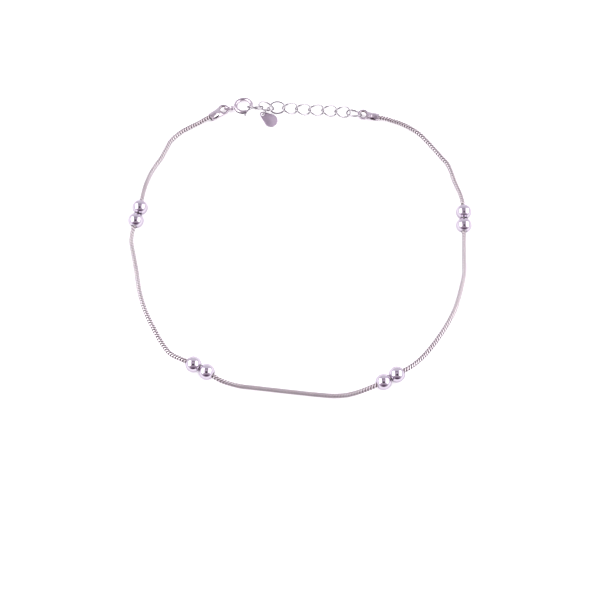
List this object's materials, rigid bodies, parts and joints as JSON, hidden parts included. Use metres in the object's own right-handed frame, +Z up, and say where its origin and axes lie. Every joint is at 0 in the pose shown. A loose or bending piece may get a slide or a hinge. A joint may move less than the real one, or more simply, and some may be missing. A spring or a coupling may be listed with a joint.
{
  "type": "anklet",
  "caption": "Slim silver snake chain anklet with pairs of round polished beads, fastened in a loop by a spring ring clasp on a short extender chain with a small plain teardrop tag.",
  "frame": {"origin": "middle of the loop's outline, on the surface that the anklet lies on", "axes": "+Z up from the surface, +Y towards the clasp and the extender, +X to the right across the loop, from the clasp's end to the extender's last link"},
  "size_m": [0.0882, 0.0834, 0.004],
  "materials": {
    "snake_silver": "polished, finely ribbed",
    "polished_silver": "mirror polished",
    "cap_silver": "polished",
    "wire_silver": "bright drawn wire",
    "satin_silver": "satin"
  },
  "bodies": {
    "anklet": {"snake_chain": "snake_silver", "bead_01": "polished_silver", "bead_02": "polished_silver", "bead_03": "polished_silver", "bead_04": "polished_silver", "bead_05": "polished_silver", "bead_06": "polished_silver", "bead_07": "polished_silver", "bead_08": "polished_silver", "end_cap_clasp": "cap_silver", "end_cap_extender": "cap_silver", "clasp_ring": "cap_silver", "clasp_jump_ring": "cap_silver", "link_01": "wire_silver", "link_02": "wire_silver", "link_03": "wire_silver", "link_04": "wire_silver", "link_05": "wire_silver", "link_06": "wire_silver", "link_07": "wire_silver", "link_08": "wire_silver", "link_09": "wire_silver", "tag_ring": "wire_silver", "tag_plate": "satin_silver"},
    "clasp_bolt": {"clasp_bolt": "wire_silver"}
  },
  "joints": [
    {"name": "bolt_slide", "type": "hinge", "parent": "anklet", "child": "clasp_bolt", "pos_m": [-0.01518, 0.03907, 0.00118], "axis": [0.068, -0.1235, -0.99], "range_deg": [0, 50], "stiffness_Nm_per_rad": 0.003}
  ]
}
